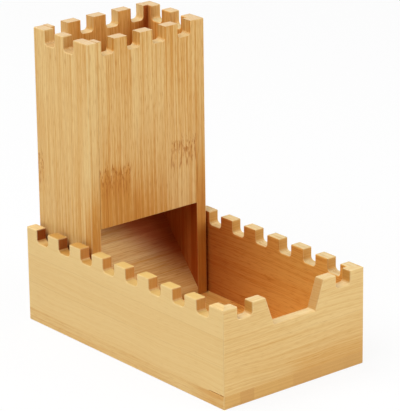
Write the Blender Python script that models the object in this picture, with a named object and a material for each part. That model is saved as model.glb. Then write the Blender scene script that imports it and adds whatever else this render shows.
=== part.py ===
"""Castle dice tower in bamboo board, standing in the open rear end of its crenellated dice tray.

The tray is a base board with two long walls and a front wall, mitred at the front corners. The tower is
a square shaft of four boards with a ramp and two baffles inside. It lifts out, and lies down in the tray
to be put away, so its depth follows the depth of the tray and its height follows the tray's length.
Metres, +Z up. The origin is under the middle of the base board, and the front wall faces -Y.
"""

from math import cos, pi, radians, sin, tan

import bmesh
import bpy
from mathutils import Vector

# Joints and edges
GLUE_LINE = 0.0003
SEAT_GAP = 0.0003
EASED_EDGE = 0.0004
SHARP_ANGLE = radians(40)
ARC_STEPS = 4

# Tray
TRAY_WIDTH = 0.081
TRAY_LENGTH = 0.1415
TRAY_HEIGHT = 0.046
TRAY_WALL = 0.0055
BASE_THICKNESS = 0.0062

# Battlements of the tray, where a crenel is a gap and a merlon is a tooth
TRAY_CRENEL_WIDTH = 0.0083
TRAY_CRENEL_DEPTH = 0.0062
TRAY_CRENEL_RADIUS = 0.0018
SIDE_CRENEL_COUNT = 8
SIDE_REAR_MERLON = 0.0077
SIDE_FRONT_MERLON = 0.0098
FRONT_CORNER_MERLON = 0.0081

# Notch in the front wall, through which the dice are scooped out
NOTCH_TOP_WIDTH = 0.0332
NOTCH_BOTTOM_WIDTH = 0.0236
NOTCH_DEPTH = 0.0135

# Tower
TOWER_SIDE_CLEARANCE = 0.0015
TOWER_REAR_SETBACK = 0.0007
STOWED_END_CLEARANCE = 0.0022
TOWER_SIDE_BOARD = 0.0055
TOWER_PANEL = 0.0055
EXIT_HEIGHT = 0.0458

# Battlements of the tower
TOWER_CRENEL_WIDTH = 0.0074
TOWER_CRENEL_DEPTH = 0.0068
TOWER_CRENEL_RADIUS = 0.0018
PANEL_CRENEL_COUNT = 4
PANEL_CORNER_MERLON = 0.008
TOWER_SIDE_CRENEL_COUNT = 2
TOWER_SIDE_REAR_MERLON = 0.0082
TOWER_SIDE_FRONT_MERLON = 0.0102

# Ramp and baffles in the shaft
RAMP_ANGLE = radians(50.7)
RAMP_BOARD = 0.004
RAMP_TOE_HEIGHT = 0.0037
BAFFLE_ANGLE = radians(45)
BAFFLE_BOARD = 0.004
BAFFLE_REACH = 0.0075
LOWER_BAFFLE_DROP = 0.0558
UPPER_BAFFLE_DROP = 0.0278

# Places that follow from the sizes
wall_bottom = BASE_THICKNESS + GLUE_LINE
wall_height = TRAY_HEIGHT - wall_bottom
mitre_setback = GLUE_LINE * sin(pi / 4)

tower_width = TRAY_WIDTH - 2 * (TRAY_WALL + TOWER_SIDE_CLEARANCE)
tower_depth = TRAY_HEIGHT - BASE_THICKNESS
tower_height = TRAY_LENGTH - TRAY_WALL - STOWED_END_CLEARANCE
tower_middle_y = TRAY_LENGTH / 2 - TOWER_REAR_SETBACK - tower_depth / 2
tower_bottom_z = BASE_THICKNESS + SEAT_GAP

board_gap = TOWER_SIDE_BOARD + GLUE_LINE
shaft_width = tower_width - 2 * board_gap
shaft_depth = tower_depth - 2 * (TOWER_PANEL + GLUE_LINE)

# Headings about +Z that turn a board's outer face to the left, the right, the front or the rear
LEFT = -pi / 2
RIGHT = pi / 2
FRONT = 0.0
REAR = pi

# Normals, in a board's own frame, of faces that are glued and so keep their sharp edges
UNDERSIDE = Vector((0, 0, -1))
TOP_SIDE = Vector((0, 0, 1))
END_FACES = (Vector((1, 0, 0)), Vector((-1, 0, 0)))
MITRE_FACES = (Vector((1, 1, 0)).normalized(), Vector((-1, 1, 0)).normalized())

# Colours of the bamboo, as linear red, green and blue
PALE_BAMBOO = (0.72, 0.49, 0.22, 1)
WARM_BAMBOO = (0.64, 0.39, 0.15, 1)
DARK_BAMBOO = (0.52, 0.28, 0.11, 1)
BAMBOO_ROUGHNESS = 0.45


def clear_scene():
    for item in list(bpy.data.objects):
        bpy.data.objects.remove(item, do_unlink=True)


def bamboo(name, colour):
    """A material of its own for one board."""
    material = bpy.data.materials.new(name)
    material.use_nodes = True
    shader = material.node_tree.nodes["Principled BSDF"]
    shader.inputs["Base Color"].default_value = colour
    shader.inputs["Roughness"].default_value = BAMBOO_ROUGHNESS
    shader.inputs["Metallic"].default_value = 0
    return material


def arc(centre, radius, start, end):
    """Points on an arc from one angle to another, both ends included."""
    steps = range(ARC_STEPS + 1)
    angles = [start + (end - start) * step / ARC_STEPS for step in steps]
    return [(centre[0] + radius * cos(a), centre[1] + radius * sin(a)) for a in angles]


def crenel(start, end, top, depth, radius):
    """Outline of one crenel from left to right, with rounded bottom corners."""
    rounding = min(radius, depth, (end - start) / 2)
    floor = top - depth + rounding
    left = arc((start + rounding, floor), rounding, pi, 1.5 * pi)
    right = arc((end - rounding, floor), rounding, 1.5 * pi, 2 * pi)
    return [(start, top)] + left + right + [(end, top)]


def battlement(length, first, last, count, top, width, depth, radius):
    """Top edge of a wall: evenly spaced crenels between a first and a last merlon."""
    pitch = (length - first - last - width) / (count - 1)
    points = []
    for number in range(count):
        start = first + pitch * number
        points += crenel(start, start + width, top, depth, radius)
    return points


def wall_outline(start, end, bottom, top, top_edge):
    """Closed outline of a wall from its ends, its bottom and its cut top edge."""
    return [(start, bottom), (start, top)] + top_edge + [(end, top), (end, bottom)]


def cut_board(outline, thickness):
    """A board with its outer face on the local X-Z plane, its body reaching to +Y."""
    mesh = bmesh.new()
    corners = [mesh.verts.new((x, 0, z)) for x, z in outline]
    face = mesh.faces.new(corners)
    body = bmesh.ops.extrude_face_region(mesh, geom=[face])
    moved = [item for item in body["geom"] if isinstance(item, bmesh.types.BMVert)]
    bmesh.ops.translate(mesh, verts=moved, vec=(0, thickness, 0))
    bmesh.ops.recalc_face_normals(mesh, faces=mesh.faces)
    return mesh


def cut_mitre(mesh, thickness, end, inward):
    """Slant the end at X = end by 45 degrees, by drawing its inner corners inward."""
    for vertex in mesh.verts:
        at_end = abs(vertex.co.x - end) < GLUE_LINE
        inner = vertex.co.y > thickness / 2
        if at_end and inner:
            vertex.co.x += inward * thickness
    bmesh.ops.recalc_face_normals(mesh, faces=mesh.faces)


def mark_eased_edges(mesh, glued):
    """Give the Bevel modifier every sharp edge that touches no glued face."""
    weight = mesh.edges.layers.float.new("bevel_weight_edge")
    mesh.normal_update()
    for edge in mesh.edges:
        if edge.calc_face_angle() < SHARP_ANGLE:
            continue
        touches = [face.normal.angle(normal) < SHARP_ANGLE for face in edge.link_faces for normal in glued]
        edge[weight] = 0.0 if any(touches) else 1.0


def finish_board(name, mesh, glued, colour, parent, place, heading):
    """Turn a cut board into an object, ease its open edges and stand it in its place."""
    mark_eased_edges(mesh, glued)
    data = bpy.data.meshes.new(name)
    mesh.to_mesh(data)
    mesh.free()
    board = bpy.data.objects.new(name, data)
    bpy.context.collection.objects.link(board)
    data.materials.append(bamboo(name + "_bamboo", colour))
    bevel = board.modifiers.new("eased_edges", "BEVEL")
    bevel.limit_method = "WEIGHT"
    bevel.width = EASED_EDGE
    bevel.segments = 1
    board.parent = parent
    board.location = place
    board.rotation_euler = (0, 0, heading)
    return board


def joint_empty(name, place):
    """An empty that carries a group of boards."""
    empty = bpy.data.objects.new(name, None)
    empty.location = place
    bpy.context.collection.objects.link(empty)
    return empty


def tray_side_battlement(first, last):
    return battlement(TRAY_LENGTH, first, last, SIDE_CRENEL_COUNT, wall_height,
                      TRAY_CRENEL_WIDTH, TRAY_CRENEL_DEPTH, TRAY_CRENEL_RADIUS)


def make_base_board():
    outline = [(0, 0), (0, BASE_THICKNESS), (TRAY_WIDTH, BASE_THICKNESS), (TRAY_WIDTH, 0)]
    mesh = cut_board(outline, TRAY_LENGTH)
    place = (-TRAY_WIDTH / 2, -TRAY_LENGTH / 2, 0)
    finish_board("tray_base_board", mesh, (TOP_SIDE,), PALE_BAMBOO, None, place, FRONT)


def make_tray_left_wall():
    """Its local X runs from the open rear end to the mitred front corner."""
    end = TRAY_LENGTH - mitre_setback
    top_edge = tray_side_battlement(SIDE_REAR_MERLON, SIDE_FRONT_MERLON)
    mesh = cut_board(wall_outline(0, end, 0, wall_height, top_edge), TRAY_WALL)
    cut_mitre(mesh, TRAY_WALL, end, -1)
    place = (-TRAY_WIDTH / 2, TRAY_LENGTH / 2, wall_bottom)
    finish_board("tray_left_wall", mesh, (UNDERSIDE, MITRE_FACES[0]), PALE_BAMBOO, None, place, LEFT)


def make_tray_right_wall():
    """Its local X runs from the mitred front corner to the open rear end."""
    start = mitre_setback
    top_edge = tray_side_battlement(SIDE_FRONT_MERLON, SIDE_REAR_MERLON)
    mesh = cut_board(wall_outline(start, TRAY_LENGTH, 0, wall_height, top_edge), TRAY_WALL)
    cut_mitre(mesh, TRAY_WALL, start, 1)
    place = (TRAY_WIDTH / 2, -TRAY_LENGTH / 2, wall_bottom)
    finish_board("tray_right_wall", mesh, (UNDERSIDE, MITRE_FACES[1]), PALE_BAMBOO, None, place, RIGHT)


def front_wall_top_edge():
    """One crenel on each side of a sloped notch."""
    middle = TRAY_WIDTH / 2
    left_end = FRONT_CORNER_MERLON + TRAY_CRENEL_WIDTH
    right_start = TRAY_WIDTH - left_end
    depth = TRAY_CRENEL_DEPTH
    radius = TRAY_CRENEL_RADIUS
    notch_floor = wall_height - NOTCH_DEPTH
    notch = [
        (middle - NOTCH_TOP_WIDTH / 2, wall_height),
        (middle - NOTCH_BOTTOM_WIDTH / 2, notch_floor),
        (middle + NOTCH_BOTTOM_WIDTH / 2, notch_floor),
        (middle + NOTCH_TOP_WIDTH / 2, wall_height),
    ]
    left = crenel(FRONT_CORNER_MERLON, left_end, wall_height, depth, radius)
    right = crenel(right_start, TRAY_WIDTH - FRONT_CORNER_MERLON, wall_height, depth, radius)
    return left + notch + right


def make_tray_front_wall():
    start = mitre_setback
    end = TRAY_WIDTH - mitre_setback
    mesh = cut_board(wall_outline(start, end, 0, wall_height, front_wall_top_edge()), TRAY_WALL)
    cut_mitre(mesh, TRAY_WALL, start, 1)
    cut_mitre(mesh, TRAY_WALL, end, -1)
    place = (-TRAY_WIDTH / 2, -TRAY_LENGTH / 2, wall_bottom)
    finish_board("tray_front_wall", mesh, (UNDERSIDE, *MITRE_FACES), PALE_BAMBOO, None, place, FRONT)


def tower_side_outline(first, last):
    top_edge = battlement(tower_depth, first, last, TOWER_SIDE_CRENEL_COUNT, tower_height,
                          TOWER_CRENEL_WIDTH, TOWER_CRENEL_DEPTH, TOWER_CRENEL_RADIUS)
    return wall_outline(0, tower_depth, 0, tower_height, top_edge)


def make_tower_left_side(tower):
    mesh = cut_board(tower_side_outline(TOWER_SIDE_REAR_MERLON, TOWER_SIDE_FRONT_MERLON), TOWER_SIDE_BOARD)
    place = (-tower_width / 2, tower_depth / 2, 0)
    finish_board("tower_left_side", mesh, (), WARM_BAMBOO, tower, place, LEFT)


def make_tower_right_side(tower):
    mesh = cut_board(tower_side_outline(TOWER_SIDE_FRONT_MERLON, TOWER_SIDE_REAR_MERLON), TOWER_SIDE_BOARD)
    place = (tower_width / 2, -tower_depth / 2, 0)
    finish_board("tower_right_side", mesh, (), WARM_BAMBOO, tower, place, RIGHT)


def panel_outline(bottom):
    """A panel between the side boards, whose battlement is spaced over the tower's whole width."""
    over_tower = battlement(tower_width, PANEL_CORNER_MERLON, PANEL_CORNER_MERLON, PANEL_CRENEL_COUNT,
                            tower_height, TOWER_CRENEL_WIDTH, TOWER_CRENEL_DEPTH, TOWER_CRENEL_RADIUS)
    top_edge = [(x - board_gap, z) for x, z in over_tower]
    return wall_outline(0, shaft_width, bottom, tower_height, top_edge)


def make_tower_front_panel(tower):
    """It stops above the dice exit."""
    mesh = cut_board(panel_outline(EXIT_HEIGHT), TOWER_PANEL)
    place = (-shaft_width / 2, -tower_depth / 2, 0)
    finish_board("tower_front_panel", mesh, END_FACES, WARM_BAMBOO, tower, place, FRONT)


def make_tower_rear_panel(tower):
    mesh = cut_board(panel_outline(0), TOWER_PANEL)
    place = (shaft_width / 2, tower_depth / 2, 0)
    finish_board("tower_rear_panel", mesh, END_FACES, WARM_BAMBOO, tower, place, REAR)


def make_exit_ramp(tower):
    """A slanted board from the rear panel to the front edge of the side boards, trimmed flush there."""
    reach = tower_depth - TOWER_PANEL - GLUE_LINE
    rise = reach * tan(RAMP_ANGLE)
    upright_thickness = RAMP_BOARD / cos(RAMP_ANGLE)
    heel = (upright_thickness - RAMP_TOE_HEIGHT) / tan(RAMP_ANGLE)
    outline = [
        (0, 0),
        (0, RAMP_TOE_HEIGHT),
        (reach, RAMP_TOE_HEIGHT + rise),
        (reach, RAMP_TOE_HEIGHT + rise - upright_thickness),
        (heel, 0),
    ]
    mesh = cut_board(outline, shaft_width)
    place = (shaft_width / 2, -tower_depth / 2, 0)
    finish_board("exit_ramp", mesh, END_FACES, DARK_BAMBOO, tower, place, RIGHT)


def baffle_outline():
    """A board that slopes down from the panel at X = 0 to a square-cut tip."""
    upright_thickness = BAFFLE_BOARD / cos(BAFFLE_ANGLE)
    tip_bottom = BAFFLE_REACH - BAFFLE_BOARD * sin(BAFFLE_ANGLE)
    root_top = BAFFLE_REACH * tan(BAFFLE_ANGLE) + BAFFLE_BOARD * cos(BAFFLE_ANGLE)
    return [
        (0, root_top),
        (BAFFLE_REACH, root_top - BAFFLE_REACH * tan(BAFFLE_ANGLE)),
        (tip_bottom, 0),
        (0, root_top - upright_thickness),
    ]


def make_baffle(tower, name, drop, side, heading):
    """A baffle glued to the panel on the given side of the shaft, -1 for front or 1 for rear.

    The lowest corner of its tip is the given drop below the top of the tower.
    """
    mesh = cut_board(baffle_outline(), shaft_width)
    place = (-side * shaft_width / 2, side * shaft_depth / 2, tower_height - drop)
    finish_board(name, mesh, END_FACES, DARK_BAMBOO, tower, place, heading)


def make_tray():
    make_base_board()
    make_tray_left_wall()
    make_tray_right_wall()
    make_tray_front_wall()


def make_tower():
    """The tower's boards hang on one empty, which lifts straight up."""
    tower = joint_empty("tower_lift", (0, tower_middle_y, tower_bottom_z))
    make_tower_left_side(tower)
    make_tower_right_side(tower)
    make_tower_front_panel(tower)
    make_tower_rear_panel(tower)
    make_exit_ramp(tower)
    make_baffle(tower, "lower_baffle", LOWER_BAFFLE_DROP, -1, RIGHT)
    make_baffle(tower, "upper_baffle", UPPER_BAFFLE_DROP, 1, LEFT)


clear_scene()
make_tray()
make_tower()
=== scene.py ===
from math import cos, pi, radians, sin, tan

import bmesh
import bpy
from mathutils import Matrix, Vector


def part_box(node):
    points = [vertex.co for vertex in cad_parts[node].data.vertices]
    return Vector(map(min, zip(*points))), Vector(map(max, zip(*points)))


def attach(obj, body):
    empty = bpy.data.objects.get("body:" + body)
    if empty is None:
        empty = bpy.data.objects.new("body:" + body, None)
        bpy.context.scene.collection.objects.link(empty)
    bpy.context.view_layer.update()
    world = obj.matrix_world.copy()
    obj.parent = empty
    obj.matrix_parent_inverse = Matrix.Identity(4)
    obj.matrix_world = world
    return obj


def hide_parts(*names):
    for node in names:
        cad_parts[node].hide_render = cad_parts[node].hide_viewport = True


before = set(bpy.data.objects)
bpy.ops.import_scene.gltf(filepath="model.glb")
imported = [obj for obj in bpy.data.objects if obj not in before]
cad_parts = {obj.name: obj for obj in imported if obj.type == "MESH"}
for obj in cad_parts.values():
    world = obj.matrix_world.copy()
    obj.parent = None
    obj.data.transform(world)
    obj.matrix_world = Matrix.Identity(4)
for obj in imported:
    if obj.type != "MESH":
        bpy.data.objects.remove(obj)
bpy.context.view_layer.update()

MM = 0.001

# Joints and rounded edges of the shown boards
HAIRLINE = 0.015 * MM
EASED_RADIUS = 0.5 * MM
EASED_SEGMENTS = 3
CORNER_FACETS = 3
ARC_STEPS = 8
SHARP_ANGLE = radians(40)
NEAR = 0.02 * MM

# Faces that the crenel cutter left: the most that their normals turn to the board's face or upward
MILLED_FACING = 0.3
MILLED_RISE = 0.4

# Least share of a normal along both axes that marks a facet midway between them
MIDWAY = 0.7

# Battlements of the tray, as in the part's source
TRAY_CRENEL_WIDTH = 8.3 * MM
TRAY_CRENEL_DEPTH = 6.2 * MM
TRAY_CRENEL_RADIUS = 1.8 * MM
SIDE_CRENEL_COUNT = 8
SIDE_REAR_MERLON = 7.7 * MM
SIDE_FRONT_MERLON = 9.8 * MM
FRONT_CORNER_MERLON = 8.1 * MM
NOTCH_TOP_WIDTH = 33.2 * MM
NOTCH_BOTTOM_WIDTH = 23.6 * MM
NOTCH_DEPTH = 13.5 * MM

# Battlements of the tower
TOWER_CRENEL_WIDTH = 7.4 * MM
TOWER_CRENEL_DEPTH = 6.8 * MM
TOWER_CRENEL_RADIUS = 1.8 * MM
PANEL_CRENEL_COUNT = 4
PANEL_CORNER_MERLON = 8 * MM
TOWER_SIDE_CRENEL_COUNT = 2
TOWER_SIDE_REAR_MERLON = 8.2 * MM
TOWER_SIDE_FRONT_MERLON = 10.2 * MM

# Ramp and baffles
RAMP_ANGLE = radians(50.7)
RAMP_BOARD = 4 * MM
RAMP_TOE_HEIGHT = 3.7 * MM
BAFFLE_ANGLE = radians(45)
BAFFLE_BOARD = 4 * MM

# Thin opening of the glue line under the left wall, beside the near corner
OPEN_JOINT_LENGTH = 11 * MM
OPEN_JOINT_TAPER = 2.5 * MM
OPEN_JOINT_HEIGHT = 0.4 * MM

# Boxes of the frame's boards
base_low, base_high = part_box("tray_base_board")
wall_low, wall_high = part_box("tray_left_wall")
side_low, side_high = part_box("tower_left_side")
panel_low, panel_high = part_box("tower_front_panel")
rear_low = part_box("tower_rear_panel")[0]
lower_low, lower_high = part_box("lower_baffle")
upper_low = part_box("upper_baffle")[0]

tray_width = base_high.x - base_low.x
tray_length = base_high.y - base_low.y
wall_thickness = wall_high.x - wall_low.x
wall_bottom = base_high.z + HAIRLINE
wall_height = wall_high.z - wall_bottom
tray_crenel_floor = wall_height - TRAY_CRENEL_DEPTH

tower_left = side_low.x
tower_width = -2 * tower_left
tower_front = side_low.y
tower_rear = side_high.y
tower_depth = tower_rear - tower_front
tower_bottom = base_high.z + HAIRLINE
tower_height = side_high.z - tower_bottom
tower_crenel_floor = tower_height - TOWER_CRENEL_DEPTH
board_thickness = side_high.x - side_low.x
board_gap = board_thickness + HAIRLINE
shaft_width = tower_width - 2 * board_gap
exit_height = panel_low.z - tower_bottom

# Headings about +Z that turn a board's outer face to the left, the right, the front or the rear
LEFT = -pi / 2
RIGHT = pi / 2
FRONT = 0.0
REAR = pi

# Directions in a board's own frame: X along its face, Y into it, Z up
ALONG_X = "X"
ALONG_Y = "Y"
ALONG_Z = "Z"
UNDERSIDE = Vector((0, 0, -1))
TOP_SIDE = Vector((0, 0, 1))
END_FACES = (Vector((1, 0, 0)), Vector((-1, 0, 0)))
MITRE_FACES = (Vector((1, 1, 0)).normalized(), Vector((-1, 1, 0)).normalized())

# Numbers of the axes along the grain, across it and through the layers, by the grain's direction
AXIS_ORDERS = {ALONG_X: (0, 2, 1), ALONG_Y: (1, 0, 2), ALONG_Z: (2, 0, 1)}

# Sockets of a mix node: factor, first input, second input and result
COLOUR_SOCKETS = (0, 6, 7, 2)
VALUE_SOCKETS = (0, 2, 3, 0)

# Colours of the bamboo, as linear red, green and blue
PALE = (0.77, 0.54, 0.225, 1)
WARM = (0.62, 0.30, 0.06, 1)
DEEP = (0.48, 0.16, 0.02, 1)
FIBRE = (0.50, 0.22, 0.05, 1)
FLECK = (0.43, 0.15, 0.02, 1)
SEAM = (0.42, 0.19, 0.05, 1)
# Paler eased edges: sanded wear together with a painted highlight
WORN_EDGE = (0.86, 0.66, 0.33, 1)
END_PALE = (0.63, 0.385, 0.14, 1)
END_WARM = (0.56, 0.29, 0.085, 1)
TOP_PALE = (0.73, 0.57, 0.34, 1)
TOP_WARM = (0.62, 0.41, 0.21, 1)
BASE_END_PALE = (0.74, 0.46, 0.15, 1)
BASE_END_WARM = (0.60, 0.32, 0.10, 1)

# Tints that multiply those colours: painted shade on inner faces, painted light on the tray floor and
# the ramp, deeper painted shade and the ramp's painted shadow, and painted shade on the crenels' upright
# faces
NO_TINT = (1, 1, 1, 1)
TRAY_TINT = (1.0, 0.76, 0.42, 1)
TRAY_FLOOR_TINT = (1.17, 1.02, 0.75, 1)
SHAFT_TINT = (1.1, 0.94, 0.68, 1)
RAMP_TINT = (1.17, 1.18, 1.15, 1)
SHELTERED = (0.58, 0.31, 0.22, 1)
RAMP_SHELTERED = (0.42, 0.14, 0.07, 1)
MILLED = (0.82, 0.63, 0.37, 1)
LEFT_WALL_MILLED = (0.91, 0.71, 0.46, 1)
RIGHT_WALL_MILLED = (0.98, 0.86, 0.58, 1)
FRONT_WALL_MILLED = (0.9, 0.78, 0.5, 1)

# Sizes of the features of the grain, along it and across it
FINE_FIBRE = (35 * MM, 0.4 * MM)
FIBRE_BUNDLE = (90 * MM, 0.75 * MM)
STREAK = (150 * MM, 2.0 * MM)
BROAD_STREAK = (220 * MM, 7 * MM)
CLOUD = (40 * MM, 22 * MM)
DASH = (5 * MM, 0.35 * MM)
SHORT_FLECK = (3 * MM, 0.8 * MM)
LONG_FLECK = (8 * MM, 0.9 * MM)
RAGGED = (14 * MM, 1.6 * MM)
WAVE = (45 * MM, 20 * MM)
WAVE_REACH = 7 * MM

# How far each noise swings the wood between pale and warm
BROAD_SWING = 0.45
STREAK_SWING = 1.0
BUNDLE_SWING = 2.5
CLOUD_SWING = 0.6
DASH_SWING = 0.8

# Spans of noise that show as dark fibres, dashes and flecks, and how far those cover the wood
FIBRE_SPAN = (0.5, 0.75)
FIBRE_SHARE = 0.4
DASH_SPAN = (0.55, 0.75)
DASH_SHARE = 0.5
SHORT_FLECK_SPAN = (0.5, 0.58)
LONG_FLECK_SPAN = (0.52, 0.6)
FLECK_SHARE = 0.85
SEAM_WIDTH = 0.12 * MM
SEAM_SHARE = 0.3

# Culm nodes: a ragged band over a stain that fades below it, and the flecks that show in the band
NODE_BAND = 10 * MM
NODE_RAGGED = 18 * MM
NODE_STAIN = 60 * MM
NODE_WARMTH = 0.45
PLAIN_NODE = 0.2
NODE_GAIN = 0.9
FLECKED_BAND = (0.1, 0.6)
LOWEST_NODE = 0.01

# End grain: its layers, and the pores of its fibre bundles
END_LAYER = 0.7 * MM
END_LAYER_SPAN = (0.4, 0.65)
END_LAYER_SHARE = 0.5
END_PORE = 0.45 * MM
END_PORE_SPAN = (0.42, 0.12)
END_PORE_SHARE = 0.3

# Spans of a face's normal over which it comes to count as end grain, as looking up, where painted light
# and shade go on tops, and as facing inward, where painted shade goes
END_FACING = (0.55, 0.8)
UP_FACING = (0.6, 0.85)
INNER_FACING = (0.3, 0.6)

# Least share of the painted crenel shade on a crenel face, and how far the cloud noise spreads the edge
# wear and its painted highlight
MILLED_SHARE = 0.5
WORN_CLOUD = (0.25, 0.75, 0.1, 0.4)

# Gloss and relief of the wood
ROUGHNESS = 0.45
ROUGHNESS_SPREAD = 0.14
SPECULAR_LEVEL = 0.18
BUMP_STRENGTH = 0.35
BUMP_DEPTH = 0.06 * MM
FINE_RELIEF = 0.6
BUNDLE_RELIEF = 0.4

# Scatter of the strips' seeds, and the strength of the stain and of the painted low shade on strips that
# are given none
TONE_SCATTER = 37.7
RANDOM_SHIFT = 40.0
FAINT_STAIN = 0.1

# Strips as end, tone from 0, pale, to 1, warm, node place along the board, and strength of the stain
# below the node and of the warmer low end, which on the tower is painted shade
BASE_STRIPS = [(9 * MM, 0.2, 0, 0.4), (17 * MM, 0.6, 0.3, 0.3), (31 * MM, 0.1, 0, 0),
               (39.5 * MM, 0.2, 0.72, 0.3), (56 * MM, 0.5, 0, 0), (69 * MM, 0.4, 0.12, 0.3),
               (81 * MM, 0.45, 0.55, 0.3)]
FRONT_PANEL_STRIPS = [(17.4 * MM, 0.48, 0.5, 0.65), (29 * MM, 0.46, 0, 0.8), (41 * MM, 0.4, 0, 0.45),
                      (55.4 * MM, 0.44, 0.545, 0.05)]
REAR_PANEL_STRIPS = [(12 * MM, 0.5, 0, 0.3), (30 * MM, 0.4, 0.62, 0.3), (43 * MM, 0.55, 0, 0.3),
                     (55.4 * MM, 0.4, 0.3, 0.3)]

# Tones of strips of equal width, with places of nodes by strip number, and the painted low shade of the
# tower's front edges by strip number
SIDE_STRIPS = 9
LEFT_SIDE_TONES = (0.45, 0.3, 0.5, 0.36, 0.44, 0.32, 0.4)
LEFT_SIDE_NODES = ((0, 0.5),)
LEFT_SIDE_STAINS = ((SIDE_STRIPS - 1, 0.9),)
RIGHT_SIDE_TONES = (0.5, 0.4, 0.55, 0.45, 0.35, 0.5)
RIGHT_SIDE_NODES = ((4, 0.35), (5, 0.37))
RIGHT_SIDE_STAINS = ((0, 0.9),)
LEFT_WALL_TONES = (0.05, 0.12, 0.0)
RIGHT_WALL_TONES = (0.0, 0.05, 0.0)
FRONT_WALL_TONES = (0.26, 0.18)
RAMP_TONES = (0.2, 0.27, 0.18, 0.24, 0.22)
BAFFLE_TONES = (0.5, 0.6)

# Warmth that the ramp and the baffles have more than their strips' tones
INSIDE_TONE = 0.1

# Two places along the grain, between which a warmer low end fades out: on the tower boards it is painted
# shade and warm bounce light, on the base it is warmer towards the front
BASE_FOOT = (8 * MM, 26 * MM)
TOWER_FOOT = (40 * MM, 78 * MM)

# Painted warm reflection low on the front wall: where it comes in along the wall, its height, and its
# amount
FRONT_WALL_PATCH = (30 * MM, 50 * MM, 13 * MM, 0.4)

# Painted shade on inner faces, as two places along the grain and the painted shade's share at each; on
# the ramp it is a painted shadow, whose lines the slant turns aside
SHAFT_SHELTER = (55 * MM, 130 * MM, 1.0, 0.1)
LEFT_WALL_SHELTER = (15 * MM, 125 * MM, 1.0, 0.0)
RIGHT_WALL_SHELTER = (15 * MM, 118 * MM, 0.0, 1.0)
FRONT_WALL_SHELTER = (0.0, 81 * MM, 0.05, 0.05)
RAMP_SHELTER = (-22 * MM, 8 * MM, 1.0, 0.0)
RAMP_SLANT = -1.6

# Painted shade of the tower on the crenel faces of the left wall beside it: where it fades out
LEFT_WALL_NOOK = (10 * MM, 55 * MM)

# Painted shade in the shaft's rear right corner, as its place across each board and its reach
REAR_PANEL_CORNER = (0.0, 8 * MM)
RIGHT_SIDE_CORNER = (37 * MM, 8 * MM)

# Painted light and shade on the faces that look up: the tint, where it comes in along the grain and
# where it goes out
FROM_START = (-1.0, 0.0)
TO_END = (2.0, 1.0)
LEFT_WALL_CROWNS = (
    ((0.89, 0.85, 0.69, 1), (7 * MM, 16 * MM), (134 * MM, 125 * MM)),
    # Beside the tower: painted shade and the tower's orange reflected light on the tops
    ((0.82, 0.66, 0.46, 1), (7 * MM, 16 * MM), (55 * MM, 41 * MM)),
)
RIGHT_WALL_CROWNS = (
    ((0.92, 1.0, 1.22, 1), FROM_START, TO_END),
    ((1.2, 1.17, 1.12, 1), (40 * MM, 95 * MM), TO_END),
)
FRONT_WALL_CROWNS = (((0.96, 1.04, 1.25, 1), FROM_START, TO_END),)
CRENEL_FLOORS = (131 * MM, 129 * MM)
TOWER_FRONT_CROWNS = (((1.06, 1.07, 0.9, 1), FROM_START, CRENEL_FLOORS),)
TOWER_REAR_CROWNS = (((1.13, 1.16, 1.05, 1), FROM_START, CRENEL_FLOORS),)
TOWER_LEFT_CROWNS = (((0.95, 0.86, 0.65, 1), FROM_START, CRENEL_FLOORS),)
TOWER_RIGHT_CROWNS = (((1.07, 1.16, 1.05, 1), FROM_START, CRENEL_FLOORS),)

# Camera at the photograph's viewing angle, with its focal length in pixels of the photograph
PHOTO_WIDTH = 400
FOCAL_PIXELS = 2800.7
SENSOR_WIDTH = 36
CAMERA_AZIMUTH = radians(-39.124)
CAMERA_ELEVATION = radians(19.476)
CAMERA_ROLL = radians(-0.762)
CAMERA_TARGET = Vector((12.67, 9.16, 60)) * MM
CAMERA_DISTANCE = 1274.4 * MM
CLIP_START = 0.05
CLIP_END = 50

# Studio: white backdrop, soft ambient light and softboxes round the object
AMBIENT = 0.07
FLOOR_SIZE = 8.0
FLOOR_ALBEDO = 0.85
FLOOR_LIFT = 0.88
SOFTBOX_DISTANCE = 1.6
SOFTBOXES = (
    # Name, azimuth and elevation in degrees, width and height in metres, watts
    ("left_softbox", -85, 50, 1.3, 1.0, 17.0),
    ("rear_softbox", -157, 60, 1.3, 1.0, 11.5),
    ("zenith_softbox", 180, 86, 1.3, 1.0, 4.6),
    ("front_softbox", 36, 22, 1.2, 0.8, 15.7),
)


def arc(centre, radius, start, end):
    """Points on an arc from one angle to another, both ends included."""
    steps = range(ARC_STEPS + 1)
    angles = [start + (end - start) * step / ARC_STEPS for step in steps]
    return [(centre[0] + radius * cos(a), centre[1] + radius * sin(a)) for a in angles]


def crenel(start, end, top, depth, radius):
    """Outline of one crenel from left to right, with rounded bottom corners."""
    floor = top - depth + radius
    left = arc((start + radius, floor), radius, pi, 1.5 * pi)
    right = arc((end - radius, floor), radius, 1.5 * pi, 2 * pi)
    return [(start, top)] + left + right + [(end, top)]


def battlement(length, first, last, count, top, width, depth, radius):
    """Top edge of a wall: evenly spaced crenels between a first and a last merlon."""
    pitch = (length - first - last - width) / (count - 1)
    points = []
    for number in range(count):
        start = first + pitch * number
        points += crenel(start, start + width, top, depth, radius)
    return points


def cut_board(outline, thickness):
    """A board with its outer face on the local X-Z plane, its body reaching to +Y."""
    mesh = bmesh.new()
    corners = [mesh.verts.new((x, 0, z)) for x, z in outline]
    face = mesh.faces.new(corners)
    body = bmesh.ops.extrude_face_region(mesh, geom=[face])
    moved = [item for item in body["geom"] if isinstance(item, bmesh.types.BMVert)]
    bmesh.ops.translate(mesh, verts=moved, vec=(0, thickness, 0))
    bmesh.ops.recalc_face_normals(mesh, faces=mesh.faces)
    return mesh


def cut_mitre(mesh, thickness, end, inward):
    """Slant the end at X = end by 45 degrees, by drawing its inner corners inward."""
    for vertex in mesh.verts:
        at_end = abs(vertex.co.x - end) < NEAR
        inner = vertex.co.y > thickness / 2
        if at_end and inner:
            vertex.co.x += inward * thickness
    bmesh.ops.recalc_face_normals(mesh, faces=mesh.faces)


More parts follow.
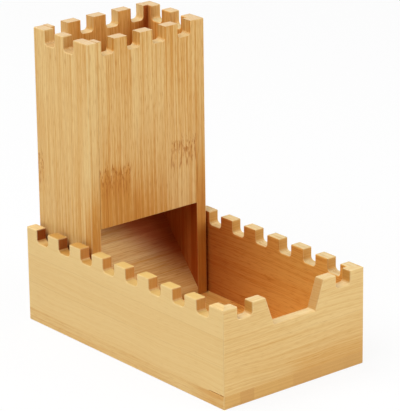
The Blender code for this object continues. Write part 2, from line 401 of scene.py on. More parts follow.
def round_outer_corner(mesh, end, inward):
    """Sand the mitred outer corner round: this board keeps its half of the quarter arc."""
    worn = mesh.faces.layers.float["worn"]
    for facet in range(CORNER_FACETS):
        angle = radians(45) * (facet + 0.5) / CORNER_FACETS
        normal = Vector((-inward * sin(angle), -cos(angle), 0))
        centre = Vector((end + inward * EASED_RADIUS, EASED_RADIUS, 0))
        point = centre + normal * EASED_RADIUS
        parts = list(mesh.verts) + list(mesh.edges) + list(mesh.faces)
        cut = bmesh.ops.bisect_plane(mesh, geom=parts, plane_co=point, plane_no=normal, clear_outer=True)
        edges = [item for item in cut["geom_cut"] if isinstance(item, bmesh.types.BMEdge)]
        for face in bmesh.ops.holes_fill(mesh, edges=edges)["faces"]:
            face[worn] = 1.0


def ease_edges(mesh, glued, keeps_sharp):
    """Round every sharp edge, apart from glued ones and those that the board keeps sharp."""
    worn = mesh.faces.layers.float.new("worn")
    mesh.normal_update()
    eased = []
    for edge in mesh.edges:
        if edge.calc_face_angle() < SHARP_ANGLE:
            continue
        sides = [face.normal for face in edge.link_faces]
        touches = [side.angle(normal) < SHARP_ANGLE for side in sides for normal in glued]
        if not any(touches) and not keeps_sharp(edge):
            eased.append(edge)
    made = bmesh.ops.bevel(mesh, geom=eased, offset=EASED_RADIUS, segments=EASED_SEGMENTS,
                           profile=0.5, affect="EDGES", clamp_overlap=True)
    for face in made["faces"]:
        face[worn] = 1.0


def mark_milled(mesh, lowest):
    """Note the upright faces that the crenel cutter left, all of them above the given height."""
    milled = mesh.faces.layers.float.new("milled")
    ends = [vertex.co.x for vertex in mesh.verts]
    mesh.normal_update()
    for face in mesh.faces:
        centre = face.calc_center_median()
        inside = min(ends) + NEAR < centre.x < max(ends) - NEAR
        across = abs(face.normal.y) < MILLED_FACING and abs(face.normal.z) < MILLED_RISE
        if inside and across and centre.z > lowest:
            face[milled] = 1.0


def settle_middle_facets(mesh):
    """Set the mark of the facet midway round a crenel's top edge, which the bevel leaves to chance."""
    worn = mesh.faces.layers.float["worn"]
    milled = mesh.faces.layers.float["milled"]
    far_end = max(vertex.co.x for vertex in mesh.verts)
    mesh.normal_update()
    for face in mesh.faces:
        if face[worn] and abs(face.normal.x) > MIDWAY and face.normal.z > MIDWAY:
            in_crenel = face.calc_center_median().x < far_end - EASED_RADIUS
            face[milled] = 1.0 if face.normal.x > 0 and in_crenel else 0.0


def keep_none_sharp(edge):
    return False


def finish_board(name, node, body, mesh, material, place, heading, corners=(), glued=(),
                 keeps_sharp=keep_none_sharp, milled_above=None):
    """Ease a cut board, stand it in its place, and let it stand for its node in the frame."""
    if milled_above:
        mark_milled(mesh, milled_above)
    ease_edges(mesh, glued, keeps_sharp)
    if milled_above:
        settle_middle_facets(mesh)
    for end, inward in corners:
        round_outer_corner(mesh, end, inward)
    for face in mesh.faces:
        face.smooth = True
    for edge in mesh.edges:
        edge.smooth = edge.is_boundary or edge.calc_face_angle() < SHARP_ANGLE
    data = bpy.data.meshes.new(name)
    mesh.to_mesh(data)
    mesh.free()
    data.materials.append(material)
    board = bpy.data.objects.new(name, data)
    bpy.context.scene.collection.objects.link(board)
    normals = board.modifiers.new("even_shading", "WEIGHTED_NORMAL")
    normals.keep_sharp = True
    board.location = place
    board.rotation_euler = (0, 0, heading)
    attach(board, body)
    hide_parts(node)


class Grain:
    """Shader nodes of one bamboo board, with coordinates that follow its grain."""

    def __init__(self, name, grain, seed, bend):
        self.material = bpy.data.materials.new(name)
        self.material.use_nodes = True
        self.tree = self.material.node_tree
        self.surface = self.tree.nodes["Principled BSDF"]
        place = self.add("ShaderNodeTexCoord")
        axes = self.add("ShaderNodeSeparateXYZ", [place.outputs["Object"]]).outputs
        facing = self.add("ShaderNodeSeparateXYZ", [place.outputs["Normal"]]).outputs
        self.facing = dict(zip((ALONG_X, ALONG_Y, ALONG_Z), facing))
        order = AXIS_ORDERS[grain]
        self.along, self.across, self.depth = [axes[number] for number in order]
        self.end_facing = self.math("ABSOLUTE", facing[order[0]])
        self.straight_across = self.across
        wave = self.streaks(*WAVE, seed, detail=1.0)
        swing = self.math("MULTIPLY", self.math("SUBTRACT", wave, 0.5), WAVE_REACH * bend)
        self.across = self.math("ADD", self.across, swing)

    def feed(self, socket, value):
        """Link another node's socket to a socket, or set a plain value on it."""
        if isinstance(value, bpy.types.NodeSocket):
            self.tree.links.new(value, socket)
        else:
            socket.default_value = value

    def add(self, kind, values=(), **settings):
        """A new node with its settings, and the values fed to its first sockets in turn."""
        node = self.tree.nodes.new(kind)
        for setting, value in settings.items():
            setattr(node, setting, value)
        for socket, value in zip(node.inputs, values):
            self.feed(socket, value)
        return node

    def math(self, operation, *values):
        return self.add("ShaderNodeMath", values, operation=operation).outputs[0]

    def span(self, value, low, high, to_low=0.0, to_high=1.0):
        """Smooth step of a value from one range to another."""
        values = [value, low, high, to_low, to_high]
        return self.add("ShaderNodeMapRange", values, interpolation_type="SMOOTHSTEP").outputs[0]

    def mix(self, sockets, values, **settings):
        """Result of a mix node that is fed a factor and two inputs."""
        node = self.add("ShaderNodeMix", **settings)
        *inputs, result = sockets
        for number, value in zip(inputs, values):
            self.feed(node.inputs[number], value)
        return node.outputs[result]

    def blend(self, factor, first, second, mode="MIX"):
        """Colour blended from the first to the second by a factor."""
        return self.mix(COLOUR_SOCKETS, (factor, first, second), data_type="RGBA", blend_type=mode)

    def tint(self, colour, tint, *masks):
        """The colour multiplied by a tint as far as all the masks are up."""
        factor = masks[0]
        for mask in masks[1:]:
            factor = self.math("MULTIPLY", factor, mask)
        return self.blend(factor, colour, tint, "MULTIPLY")

    def paint(self, colour, mask, share, paint):
        """The colour covered by a paint, at the most by the given share."""
        return self.blend(self.math("MULTIPLY", mask, share), colour, paint)

    def attribute(self, name):
        """Share that the mesh gives each of its faces under the name."""
        return self.add("ShaderNodeAttribute", attribute_name=name).outputs["Fac"]

    def streaks(self, along_size, across_size, shift, detail):
        """Noise drawn out along the grain, in grains of the given sizes."""
        along = self.math("DIVIDE", self.along, along_size)
        across = self.math("MULTIPLY_ADD", self.across, 1 / across_size, shift)
        depth = self.math("DIVIDE", self.depth, across_size)
        vector = self.add("ShaderNodeCombineXYZ", [along, across, depth]).outputs[0]
        noise = self.add("ShaderNodeTexNoise", noise_dimensions="3D")
        self.feed(noise.inputs["Vector"], vector)
        noise.inputs["Scale"].default_value = 1.0
        noise.inputs["Detail"].default_value = detail
        return noise.outputs[0]

    def stepped(self, value, steps):
        """A ramp of constant bands from (position, colour) pairs, the first of them at 0."""
        ramp = self.add("ShaderNodeValToRGB", [value])
        stops = ramp.color_ramp
        stops.interpolation = "CONSTANT"
        stops.elements.remove(stops.elements[1])
        stops.elements[0].position = 0.0
        stops.elements[0].color = steps[0][1]
        for position, colour in steps[1:]:
            stop = stops.elements.new(position)
            stop.color = colour
        return ramp.outputs[0]


def strip_steps(strips, span):
    """Ramp stops that carry the tone, node place, and strength of stain and painted low shade of each
    glued strip.
    """
    steps = []
    start = 0.0
    for end, tone, node, stain in strips:
        steps.append((start / span, (tone, node, stain, 1)))
        start = end
    return steps


def seam_steps(strips, span):
    """Ramp stops that are white in the thin glue seams between strips."""
    steps = [(0.0, (0, 0, 0, 1))]
    for end, *_ in strips[:-1]:
        steps.append(((end - SEAM_WIDTH / 2) / span, (1, 1, 1, 1)))
        steps.append(((end + SEAM_WIDTH / 2) / span, (0, 0, 0, 1)))
    return steps


def add_swing(g, total, noise, amount):
    """Add a noise's swing about its middle to a running total."""
    return g.math("MULTIPLY_ADD", g.math("SUBTRACT", noise, 0.5), amount, total)


def node_masks(g, node, length, shift):
    """Masks of a culm node: its ragged band, the stain that fades below it, and its dark flecks."""
    ragged = g.streaks(*RAGGED, shift, detail=2.0)
    distance = g.math("SUBTRACT", g.along, g.math("MULTIPLY", node, length))
    distance = add_swing(g, distance, ragged, NODE_RAGGED)
    present = g.math("GREATER_THAN", node, LOWEST_NODE)
    band = g.math("MULTIPLY", g.span(g.math("ABSOLUTE", distance), NODE_BAND, 0.0), present)
    below = g.span(distance, NODE_BAND, -NODE_BAND)
    stain = g.math("MULTIPLY", below, g.span(distance, -NODE_STAIN, 0.0))
    short = g.span(g.streaks(*SHORT_FLECK, shift, detail=2.0), *SHORT_FLECK_SPAN)
    long = g.span(g.streaks(*LONG_FLECK, shift, detail=2.0), *LONG_FLECK_SPAN)
    upper = g.span(distance, -NODE_BAND / 2, NODE_BAND / 2)
    flecks = g.mix(VALUE_SOCKETS, (upper, long, short), data_type="FLOAT")
    flecked = g.math("MULTIPLY", flecks, g.span(band, *FLECKED_BAND))
    return band, g.math("MULTIPLY", stain, present), flecked


def end_grain(g, stacked, tone, pale, dark):
    """Darker cut ends, with layers stacked over each other and the dots of fibre bundles."""
    across = g.math("DIVIDE", g.across, END_PORE)
    depth = g.math("DIVIDE", g.depth, END_PORE)
    place = g.add("ShaderNodeCombineXYZ", [across, depth, 0.0]).outputs[0]
    pores = g.add("ShaderNodeTexVoronoi", [place], voronoi_dimensions="2D").outputs["Distance"]
    layers = g.add("ShaderNodeTexNoise", noise_dimensions="1D")
    g.feed(layers.inputs["W"], g.math("DIVIDE", stacked, END_LAYER))
    layers.inputs["Scale"].default_value = 1.0
    colour = g.blend(tone, pale, dark)
    colour = g.paint(colour, g.span(layers.outputs[0], *END_LAYER_SPAN), END_LAYER_SHARE, dark)
    return g.paint(colour, g.span(pores, *END_PORE_SPAN), END_PORE_SHARE, FLECK)


def patch_mask(g, low, high, height):
    """Up past a place along the grain, and fading upward from the board's lower edge."""
    return g.math("MULTIPLY", g.span(g.along, low, high), g.span(g.across, height, 0.0))


def shelter_mask(g, shelter, slant, corner):
    """Share of the painted shade on an inner face, which rises towards a corner of painted shade if one
    is given.
    """
    share = g.span(g.math("MULTIPLY_ADD", g.straight_across, slant, g.along), *shelter)
    # Painted shade that rises towards the given corner
    if corner:
        place, reach = corner
        aside = g.math("ABSOLUTE", g.math("SUBTRACT", g.straight_across, place))
        share = g.math("ADD", share, g.span(aside, reach, 0.0))
    return share


def bamboo(name, grain, strips, span, length, tone=0.0, contrast=1.0, bend=0.15, seed=0.0, foot=None,
           patch=None, ends=(END_PALE, END_WARM), across_layers=False, milled_tint=MILLED, nook=None,
           crowns=(), inner=None, tint=NO_TINT, shelter=None, slant=0.0, corner=None, deeper=SHELTERED):
    """Laminated bamboo: strips with their own tone, fibres, culm nodes, end grain and worn edges with a
    painted highlight.

    The strips lie across the grain over the given span, and length is the board's length along it. Tone
    makes the whole board warmer, contrast strengthens its streaks, and bend makes them wander. The foot
    gives two places along the grain, between which a warmer tone fades out from the board's low end; on
    the tower it is painted shade and bounce light. The patch is a painted warm reflection: two places
    along the grain between which it comes in, its height, and its amount.

    Ends are the pale and the warm tone of the end grain, whose layers are stacked through the board's
    depth, or across it. The tint for the upright faces of the crenels is painted shade. The tower's
    shade gives two places along the grain, between which its painted shade on those faces fades out.
    Each tint for the faces that look up is painted light and shade: its tint, the places between which
    it comes in, and those where it goes out.

    The inner axis is the one that the board's inner face looks along, and tint is painted on that face:
    shade and bounce light on the walls and in the shaft, light on the tray floor and the ramp. The span
    of painted shade gives two places along the grain, and the share of the painted shade at each. Slant
    turns the lines of equal painted shade aside. The corner is a place across the grain with painted
    shade, and its reach.
    """
    g = Grain(name, grain, seed, bend)
    share = g.math("DIVIDE", g.straight_across, span)
    data = g.stepped(share, strip_steps(strips, span))
    strip_tone, node, strip_stain = g.add("ShaderNodeSeparateColor", [data]).outputs[:3]
    seam = g.stepped(share, seam_steps(strips, span))
    random = g.math("FRACT", g.math("MULTIPLY", g.math("ADD", strip_tone, node), TONE_SCATTER))
    shift = g.math("MULTIPLY_ADD", random, RANDOM_SHIFT, seed)

    fine = g.streaks(*FINE_FIBRE, shift, detail=3.0)
    bundle = g.streaks(*FIBRE_BUNDLE, shift, detail=2.0)
    streak = g.streaks(*STREAK, shift, detail=1.0)
    broad = g.streaks(*BROAD_STREAK, shift, detail=1.0)
    cloud = g.streaks(*CLOUD, seed, detail=2.0)
    dash = g.streaks(*DASH, shift, detail=1.0)
    band, stain, flecks = node_masks(g, node, length, shift)
    node_strength = g.math("MULTIPLY_ADD", strip_stain, NODE_GAIN, PLAIN_NODE)

    warm = g.math("ADD", strip_tone, tone)
    warm = add_swing(g, warm, broad, BROAD_SWING * contrast)
    warm = add_swing(g, warm, streak, STREAK_SWING * contrast)
    warm = add_swing(g, warm, bundle, BUNDLE_SWING * contrast)
    warm = add_swing(g, warm, cloud, CLOUD_SWING * contrast)
    warm = add_swing(g, warm, dash, DASH_SWING * contrast)
    # Warmer low end: painted shade and warm bounce light low on the tower, warmer towards the front on
    # the base
    if foot:
        stain = g.math("MAXIMUM", stain, g.span(g.along, *foot, 1.0, 0.0))
    warm = g.math("MULTIPLY_ADD", stain, strip_stain, warm)
    warm = g.math("MULTIPLY_ADD", g.math("MULTIPLY", band, node_strength), NODE_WARMTH, warm)
    # Painted warm reflection low on the board
    if patch:
        *place, amount = patch
        warm = g.math("MULTIPLY_ADD", patch_mask(g, *place), amount, warm)

    colour = g.blend(warm, PALE, WARM)
    colour = g.blend(g.math("SUBTRACT", warm, 1.0), colour, DEEP)
    colour = g.paint(colour, g.span(fine, *FIBRE_SPAN), FIBRE_SHARE * contrast, FIBRE)
    colour = g.paint(colour, g.span(dash, *DASH_SPAN), DASH_SHARE * contrast, FIBRE)
    colour = g.paint(colour, flecks, FLECK_SHARE, FLECK)
    colour = g.paint(colour, seam, SEAM_SHARE, SEAM)

    end_mask = g.span(g.end_facing, *END_FACING)
    stacked = g.across if across_layers else g.depth
    colour = g.blend(end_mask, colour, end_grain(g, stacked, strip_tone, *ends))
    # Painted shade on the crenels' upright faces
    milled = g.attribute("milled")
    colour = g.tint(colour, milled_tint, milled, g.math("MAXIMUM", end_mask, MILLED_SHARE))
    # The tower's painted shade on the crenel faces beside it
    if nook:
        colour = g.tint(colour, deeper, milled, g.span(g.along, *nook, 1.0, 0.0))
    upward = g.span(g.facing[ALONG_Z], *UP_FACING)
    # Painted light and shade on the faces that look up
    for crown_tint, rise, fall in crowns:
        reach = g.math("MULTIPLY", g.span(g.along, *rise), g.span(g.along, *fall))
        colour = g.tint(colour, crown_tint, upward, reach)
    # Eased edges: paler sanded wear, and a painted highlight where they catch the light
    colour = g.paint(colour, g.attribute("worn"), g.span(cloud, *WORN_CLOUD), WORN_EDGE)
    # Inner faces: a tint of painted shade and bounce light on walls and shaft, of painted light on the
    # tray floor and the ramp; then deeper painted shade over the given span
    if inner:
        sheltered = g.span(g.facing[inner], *INNER_FACING)
        colour = g.tint(colour, tint, sheltered)
        if shelter:
            colour = g.tint(colour, deeper, sheltered, shelter_mask(g, shelter, slant, corner))

    g.feed(g.surface.inputs["Base Color"], colour)
    polish = add_swing(g, ROUGHNESS, bundle, ROUGHNESS_SPREAD * 2)
    g.feed(g.surface.inputs["Roughness"], g.math("MULTIPLY_ADD", end_mask, ROUGHNESS_SPREAD, polish))
    g.surface.inputs["Specular IOR Level"].default_value = SPECULAR_LEVEL
    bump = g.add("ShaderNodeBump")
    bump.inputs["Strength"].default_value = BUMP_STRENGTH
    bump.inputs["Distance"].default_value = BUMP_DEPTH
    relief = g.math("MULTIPLY_ADD", fine, FINE_RELIEF, g.math("MULTIPLY", bundle, BUNDLE_RELIEF))
    g.feed(bump.inputs["Height"], relief)
    g.feed(g.surface.inputs["Normal"], bump.outputs[0])
    return g.material


def even_strips(span, count, tones, nodes=(), stains=()):
    """Strips of equal width with tones taken in turn, and nodes, and the strength of stain and painted
    low shade, given by strip number.
    """
    placed = dict(nodes)
    stained = dict(stains)
    strips = []
    for number in range(count):
        end = span * (number + 1) / count
        tone = tones[number % len(tones)]
        strips.append((end, tone, placed.get(number, 0), stained.get(number, FAINT_STAIN)))
    return strips


def make_base_board():
    outline = [(0, 0), (0, base_high.z), (tray_width, base_high.z), (tray_width, 0)]
    mesh = cut_board(outline, tray_length)
    # The tray floor's upper face is painted with warm bounce light
    material = bamboo("base_board_bamboo", ALONG_Y, BASE_STRIPS, tray_width, tray_length,
                      contrast=0.5, seed=3.1, foot=BASE_FOOT, ends=(BASE_END_PALE, BASE_END_WARM),
                      inner=ALONG_Z, tint=TRAY_FLOOR_TINT)
    place = (base_low.x, base_low.y, 0)
    finish_board("base_board", "tray_base_board", "tray", mesh, material, place, FRONT,
                 glued=(TOP_SIDE,))


def tray_side_battlement(first, last):
    return battlement(tray_length, first, last, SIDE_CRENEL_COUNT, wall_height,
                      TRAY_CRENEL_WIDTH, TRAY_CRENEL_DEPTH, TRAY_CRENEL_RADIUS)


def wall_bamboo(name, strips, length, **looks):
    """Bamboo of a tray wall, whose inner face has painted shade and bounce light that make it more
    orange than the outer one.
    """
    return bamboo(name, ALONG_X, strips, wall_height, length, inner=ALONG_Y, tint=TRAY_TINT, **looks)


def make_left_wall():
    """Its local X runs from the open rear end to the mitred front corner."""
    end = tray_length - HAIRLINE
    top_edge = tray_side_battlement(SIDE_REAR_MERLON, SIDE_FRONT_MERLON)
    opening_start = end - OPEN_JOINT_LENGTH
    opening_top = [(end, OPEN_JOINT_HEIGHT), (opening_start + OPEN_JOINT_TAPER, OPEN_JOINT_HEIGHT)]
    opening = opening_top + [(opening_start, 0)]
    outline = [(0, 0), (0, wall_height)] + top_edge + [(end, wall_height)] + opening
    mesh = cut_board(outline, wall_thickness)
    cut_mitre(mesh, wall_thickness, end, -1)
    strips = even_strips(wall_height, len(LEFT_WALL_TONES), LEFT_WALL_TONES)
    material = wall_bamboo("left_wall_bamboo", strips, tray_length, contrast=0.22, bend=0.7, seed=7.7,
                           milled_tint=LEFT_WALL_MILLED, nook=LEFT_WALL_NOOK, crowns=LEFT_WALL_CROWNS,
                           shelter=LEFT_WALL_SHELTER)
    place = (base_low.x, base_high.y, wall_bottom)
    finish_board("left_wall_board", "tray_left_wall", "tray", mesh, material, place, LEFT,
                 corners=((end, -1),), glued=(UNDERSIDE, MITRE_FACES[0]),
                 milled_above=tray_crenel_floor)


def make_right_wall():
    """Its local X runs from the mitred front corner to the open rear end."""
    start = HAIRLINE
    top_edge = tray_side_battlement(SIDE_FRONT_MERLON, SIDE_REAR_MERLON)
    start_edge = [(start, 0), (start, wall_height)]
    end_edge = [(tray_length, wall_height), (tray_length, 0)]
    outline = start_edge + top_edge + end_edge
    mesh = cut_board(outline, wall_thickness)
    cut_mitre(mesh, wall_thickness, start, 1)
    strips = even_strips(wall_height, len(RIGHT_WALL_TONES), RIGHT_WALL_TONES)
    material = wall_bamboo("right_wall_bamboo", strips, tray_length, bend=0.5, seed=12.4,
                           across_layers=True, milled_tint=RIGHT_WALL_MILLED,
                           crowns=RIGHT_WALL_CROWNS, shelter=RIGHT_WALL_SHELTER)
    place = (base_high.x, base_low.y, wall_bottom)
    finish_board("right_wall_board", "tray_right_wall", "tray", mesh, material, place, RIGHT,
                 corners=((start, 1),), glued=(UNDERSIDE, MITRE_FACES[1]),
                 milled_above=tray_crenel_floor)


def front_wall_top_edge():
    """One crenel on each side of a sloped notch."""
    middle = tray_width / 2
    left_end = FRONT_CORNER_MERLON + TRAY_CRENEL_WIDTH
    right_start = tray_width - left_end
    notch_floor = wall_height - NOTCH_DEPTH
    notch = [
        (middle - NOTCH_TOP_WIDTH / 2, wall_height),
        (middle - NOTCH_BOTTOM_WIDTH / 2, notch_floor),
        (middle + NOTCH_BOTTOM_WIDTH / 2, notch_floor),
        (middle + NOTCH_TOP_WIDTH / 2, wall_height),
    ]
    shape = (wall_height, TRAY_CRENEL_DEPTH, TRAY_CRENEL_RADIUS)
    left = crenel(FRONT_CORNER_MERLON, left_end, *shape)
    right = crenel(right_start, tray_width - FRONT_CORNER_MERLON, *shape)
    return left + notch + right


def make_front_wall():
    start = HAIRLINE
    end = tray_width - HAIRLINE
    start_edge = [(start, 0), (start, wall_height)]
    end_edge = [(end, wall_height), (end, 0)]
    outline = start_edge + front_wall_top_edge() + end_edge
    mesh = cut_board(outline, wall_thickness)
    cut_mitre(mesh, wall_thickness, start, 1)
    cut_mitre(mesh, wall_thickness, end, -1)
    strips = even_strips(wall_height, len(FRONT_WALL_TONES), FRONT_WALL_TONES)
    material = wall_bamboo("front_wall_bamboo", strips, tray_width, contrast=0.5, bend=0.5, seed=5.2,
                           patch=FRONT_WALL_PATCH, across_layers=True, milled_tint=FRONT_WALL_MILLED,
                           crowns=FRONT_WALL_CROWNS, shelter=FRONT_WALL_SHELTER)
    place = (base_low.x, base_low.y, wall_bottom)
    finish_board("front_wall_board", "tray_front_wall", "tray", mesh, material, place, FRONT,
                 corners=((start, 1), (end, -1)), glued=(UNDERSIDE, *MITRE_FACES),
                 milled_above=tray_crenel_floor)


def tower_bamboo(name, strips, span, **looks):
    """Bamboo of an upright board of the tower, whose inner face has painted shade, darker down the
    shaft.
    """
    return bamboo(name, ALONG_Z, strips, span, tower_height, ends=(TOP_PALE, TOP_WARM),
                  inner=ALONG_Y, tint=SHAFT_TINT, shelter=SHAFT_SHELTER, **looks)


def tower_side_outline(first, last, front_is_last):
    """The front edge has a corner at the exit's height, where its inner edge starts to be glued."""
    top_edge = battlement(tower_depth, first, last, TOWER_SIDE_CRENEL_COUNT, tower_height,
                          TOWER_CRENEL_WIDTH, TOWER_CRENEL_DEPTH, TOWER_CRENEL_RADIUS)
    start_corner = [] if front_is_last else [(0, exit_height)]
    end_corner = [(tower_depth, exit_height)] if front_is_last else []
    start_edge = [(0, 0)] + start_corner + [(0, tower_height)]
    end_edge = [(tower_depth, tower_height)] + end_corner + [(tower_depth, 0)]
    return start_edge + top_edge + end_edge


def glued_to_panels(front):
    """Test for the inner upright edges of a side board that meet the front or the rear panel."""
    rear = tower_depth - front

    def keeps_sharp(edge):
        first, second = [vertex.co for vertex in edge.verts]
        upright = abs(first.x - second.x) < NEAR and abs(first.y - second.y) < NEAR
        inner = first.y > board_thickness / 2
        at_rear = abs(first.x - rear) < NEAR
        at_front = abs(first.x - front) < NEAR and min(first.z, second.z) > exit_height - NEAR
        return upright and inner and (at_rear or at_front)

    return keeps_sharp


def make_tower_left():
    outline = tower_side_outline(TOWER_SIDE_REAR_MERLON, TOWER_SIDE_FRONT_MERLON, True)
    mesh = cut_board(outline, board_thickness)
    strips = even_strips(tower_depth, SIDE_STRIPS, LEFT_SIDE_TONES, LEFT_SIDE_NODES, LEFT_SIDE_STAINS)
    material = tower_bamboo("tower_left_bamboo", strips, tower_depth, contrast=0.85, seed=1.3,
                            foot=TOWER_FOOT, crowns=TOWER_LEFT_CROWNS)
    place = (tower_left, tower_rear, tower_bottom)
    finish_board("tower_left_board", "tower_left_side", "tower", mesh, material, place, LEFT,
                 keeps_sharp=glued_to_panels(tower_depth), milled_above=tower_crenel_floor)


def make_tower_right():
    outline = tower_side_outline(TOWER_SIDE_FRONT_MERLON, TOWER_SIDE_REAR_MERLON, False)
    mesh = cut_board(outline, board_thickness)
    strips = even_strips(tower_depth, SIDE_STRIPS, RIGHT_SIDE_TONES, RIGHT_SIDE_NODES, RIGHT_SIDE_STAINS)
    material = tower_bamboo("tower_right_bamboo", strips, tower_depth, contrast=0.8, seed=8.9,
                            foot=TOWER_FOOT, crowns=TOWER_RIGHT_CROWNS, corner=RIGHT_SIDE_CORNER)
    place = (-tower_left, tower_front, tower_bottom)
    finish_board("tower_right_board", "tower_right_side", "tower", mesh, material, place, RIGHT,
                 keeps_sharp=glued_to_panels(0), milled_above=tower_crenel_floor)


def panel_outline(bottom):
    """A panel between the side boards, whose battlement is spaced over the tower's whole width."""
    over_tower = battlement(tower_width, PANEL_CORNER_MERLON, PANEL_CORNER_MERLON, PANEL_CRENEL_COUNT,
                            tower_height, TOWER_CRENEL_WIDTH, TOWER_CRENEL_DEPTH, TOWER_CRENEL_RADIUS)
    top_edge = [(x - board_gap, z) for x, z in over_tower]
    left_edge = [(0, bottom), (0, tower_height)]
    right_edge = [(shaft_width, tower_height), (shaft_width, bottom)]
    return left_edge + top_edge + right_edge


def make_tower_front():
    """It stops above the exit."""
    mesh = cut_board(panel_outline(exit_height), board_thickness)
    material = tower_bamboo("tower_front_bamboo", FRONT_PANEL_STRIPS, shaft_width, seed=2.6,
                            foot=TOWER_FOOT, crowns=TOWER_FRONT_CROWNS)
    place = (-shaft_width / 2, tower_front, tower_bottom)
    finish_board("tower_front_board", "tower_front_panel", "tower", mesh, material, place, FRONT,
                 glued=END_FACES, milled_above=tower_crenel_floor)


def make_tower_rear():
    mesh = cut_board(panel_outline(0), board_thickness)
    material = tower_bamboo("tower_rear_bamboo", REAR_PANEL_STRIPS, shaft_width, seed=15.0,
                            milled_tint=NO_TINT, crowns=TOWER_REAR_CROWNS, corner=REAR_PANEL_CORNER)
    place = (shaft_width / 2, tower_rear, tower_bottom)
    finish_board("tower_rear_board", "tower_rear_panel", "tower", mesh, material, place, REAR,
                 glued=END_FACES, milled_above=tower_crenel_floor)


def make_ramp():
    """A slanted board from the rear panel to the front edge of the side boards, trimmed flush there."""
    reach = tower_depth - board_thickness - HAIRLINE
    rise = reach * tan(RAMP_ANGLE)
    upright_thickness = RAMP_BOARD / cos(RAMP_ANGLE)
    heel = (upright_thickness - RAMP_TOE_HEIGHT) / tan(RAMP_ANGLE)
    outline = [
        (0, 0),
        (0, RAMP_TOE_HEIGHT),
        (reach, RAMP_TOE_HEIGHT + rise),
        (reach, RAMP_TOE_HEIGHT + rise - upright_thickness),
        (heel, 0),
    ]
    mesh = cut_board(outline, shaft_width)
    strips = even_strips(reach, len(RAMP_TONES), RAMP_TONES)
    # The ramp's upper face is painted lighter, with a painted shadow that deepens towards the right side
    # board and the rear
    material = bamboo("ramp_bamboo", ALONG_Y, strips, reach, shaft_width, tone=INSIDE_TONE,
                      contrast=0.85, seed=20.3, inner=ALONG_Z, tint=RAMP_TINT,
                      shelter=RAMP_SHELTER, slant=RAMP_SLANT, deeper=RAMP_SHELTERED)
    place = (shaft_width / 2, tower_front, tower_bottom)
    finish_board("ramp_board", "exit_ramp", "tower", mesh, material, place, RIGHT, glued=END_FACES)


def make_baffle(name, node, root, tip, bottom, heading, seed):
    """A board that slopes down from its panel at X = 0 to a square-cut tip."""
    reach = abs(tip - root)
    upright_thickness = BAFFLE_BOARD / cos(BAFFLE_ANGLE)
    tip_bottom = reach - BAFFLE_BOARD * sin(BAFFLE_ANGLE)
    tip_top = BAFFLE_BOARD * cos(BAFFLE_ANGLE)
    root_top = reach * tan(BAFFLE_ANGLE) + tip_top
    outline = [(0, root_top), (reach, tip_top), (tip_bottom, 0), (0, root_top - upright_thickness)]
    mesh = cut_board(outline, shaft_width)
    strips = even_strips(reach, len(BAFFLE_TONES), BAFFLE_TONES)
    material = bamboo(name + "_bamboo", ALONG_Y, strips, reach, shaft_width, tone=INSIDE_TONE,
                      contrast=0.8, seed=seed)
    side = 1 if heading == LEFT else -1
    place = (-side * shaft_width / 2, root, bottom)
    finish_board(name, node, "tower", mesh, material, place, heading, glued=END_FACES)


def seen_directly(tree):
    """1 for rays from the camera and for reflected and refracted ones, 0 for the light that spreads."""
    path = tree.nodes.new("ShaderNodeLightPath")
    seen = path.outputs["Is Camera Ray"]
    for other in ("Is Glossy Ray", "Is Transmission Ray"):
        either = tree.nodes.new("ShaderNodeMath")
        either.operation = "MAXIMUM"
        tree.links.new(seen, either.inputs[0])
        tree.links.new(path.outputs[other], either.inputs[1])
        seen = either.outputs[0]
    return seen


def make_floor():
    """Pale studio floor: white to the camera, and shaded where the object keeps the light away."""
    half = FLOOR_SIZE / 2
    corners = ((-half, -half, 0), (half, -half, 0), (half, half, 0), (-half, half, 0))
    mesh = bmesh.new()
    mesh.faces.new([mesh.verts.new(corner) for corner in corners])
    data = bpy.data.meshes.new("studio_floor")
    mesh.to_mesh(data)
    mesh.free()
    floor = bpy.data.objects.new("studio_floor", data)
    bpy.context.scene.collection.objects.link(floor)
    material = bpy.data.materials.new("studio_floor_white")
    material.use_nodes = True
    tree = material.node_tree
    tree.nodes.clear()
    lift = tree.nodes.new("ShaderNodeMath")
    lift.operation = "MULTIPLY"
    lift.inputs[1].default_value = FLOOR_LIFT
    tree.links.new(seen_directly(tree), lift.inputs[0])
    matt = tree.nodes.new("ShaderNodeBsdfDiffuse")
    matt.inputs["Color"].default_value = (FLOOR_ALBEDO, FLOOR_ALBEDO, FLOOR_ALBEDO, 1)
    white = tree.nodes.new("ShaderNodeEmission")
    white.inputs["Strength"].default_value = 1.0
    mixed = tree.nodes.new("ShaderNodeMixShader")
    tree.links.new(lift.outputs[0], mixed.inputs[0])
    tree.links.new(matt.outputs[0], mixed.inputs[1])
    tree.links.new(white.outputs[0], mixed.inputs[2])
    output = tree.nodes.new("ShaderNodeOutputMaterial")
    tree.links.new(mixed.outputs[0], output.inputs["Surface"])
    data.materials.append(material)


def make_world():
    """White behind the object and in its reflections, and a softer ambient light on it."""
    world = bpy.data.worlds.new("studio_world")
    bpy.context.scene.world = world
    world.use_nodes = True
    tree = world.node_tree
    background = tree.nodes["Background"]
    background.inputs["Color"].default_value = (1, 1, 1, 1)
    strength = tree.nodes.new("ShaderNodeMapRange")
    strength.inputs["To Min"].default_value = AMBIENT
    strength.inputs["To Max"].default_value = 1.0
    tree.links.new(seen_directly(tree), strength.inputs["Value"])
    tree.links.new(strength.outputs[0], background.inputs["Strength"])


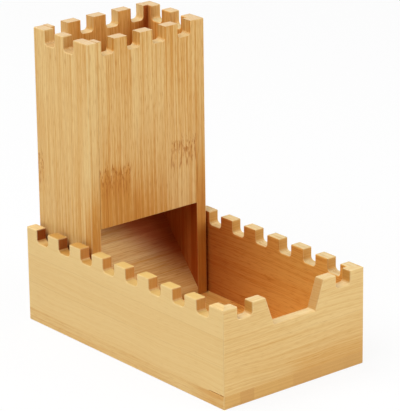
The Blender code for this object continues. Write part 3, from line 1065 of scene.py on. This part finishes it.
def direction(azimuth, elevation):
    """Unit vector from the object towards a place round it, azimuth 0 being straight in front."""
    return Vector((sin(azimuth) * cos(elevation), -cos(azimuth) * cos(elevation), sin(elevation)))


def make_softboxes():
    for name, azimuth, elevation, width, height, watts in SOFTBOXES:
        data = bpy.data.lights.new(name, "AREA")
        data.shape = "RECTANGLE"
        data.size = width
        data.size_y = height
        data.energy = watts
        lamp = bpy.data.objects.new(name, data)
        bpy.context.scene.collection.objects.link(lamp)
        towards = direction(radians(azimuth), radians(elevation))
        lamp.location = CAMERA_TARGET + towards * SOFTBOX_DISTANCE
        lamp.rotation_euler = towards.to_track_quat("Z", "Y").to_euler()


def make_camera():
    data = bpy.data.cameras.new("photo_camera")
    data.sensor_fit = "HORIZONTAL"
    data.sensor_width = SENSOR_WIDTH
    data.lens = FOCAL_PIXELS * SENSOR_WIDTH / PHOTO_WIDTH
    data.clip_start = CLIP_START
    data.clip_end = CLIP_END
    camera = bpy.data.objects.new("photo_camera", data)
    bpy.context.scene.collection.objects.link(camera)
    back = direction(CAMERA_AZIMUTH, CAMERA_ELEVATION)
    right = Vector((cos(CAMERA_AZIMUTH), sin(CAMERA_AZIMUTH), 0))
    up = back.cross(right)
    rolled_right = right * cos(CAMERA_ROLL) + up * sin(CAMERA_ROLL)
    rolled_up = up * cos(CAMERA_ROLL) - right * sin(CAMERA_ROLL)
    turn = Matrix((rolled_right, rolled_up, back)).transposed().to_4x4()
    camera.matrix_world = Matrix.Translation(CAMERA_TARGET + back * CAMERA_DISTANCE) @ turn
    bpy.context.scene.camera = camera


make_base_board()
make_left_wall()
make_right_wall()
make_front_wall()
make_tower_left()
make_tower_right()
make_tower_front()
make_tower_rear()
make_ramp()
make_baffle("lower_baffle_board", "lower_baffle", root=panel_high.y + HAIRLINE, tip=lower_high.y,
            bottom=lower_low.z, heading=RIGHT, seed=24.1)
make_baffle("upper_baffle_board", "upper_baffle", root=rear_low.y - HAIRLINE, tip=upper_low.y,
            bottom=upper_low.z, heading=LEFT, seed=27.5)
make_floor()
make_world()
make_softboxes()
make_camera()
bpy.context.scene.view_settings.view_transform = "Standard"
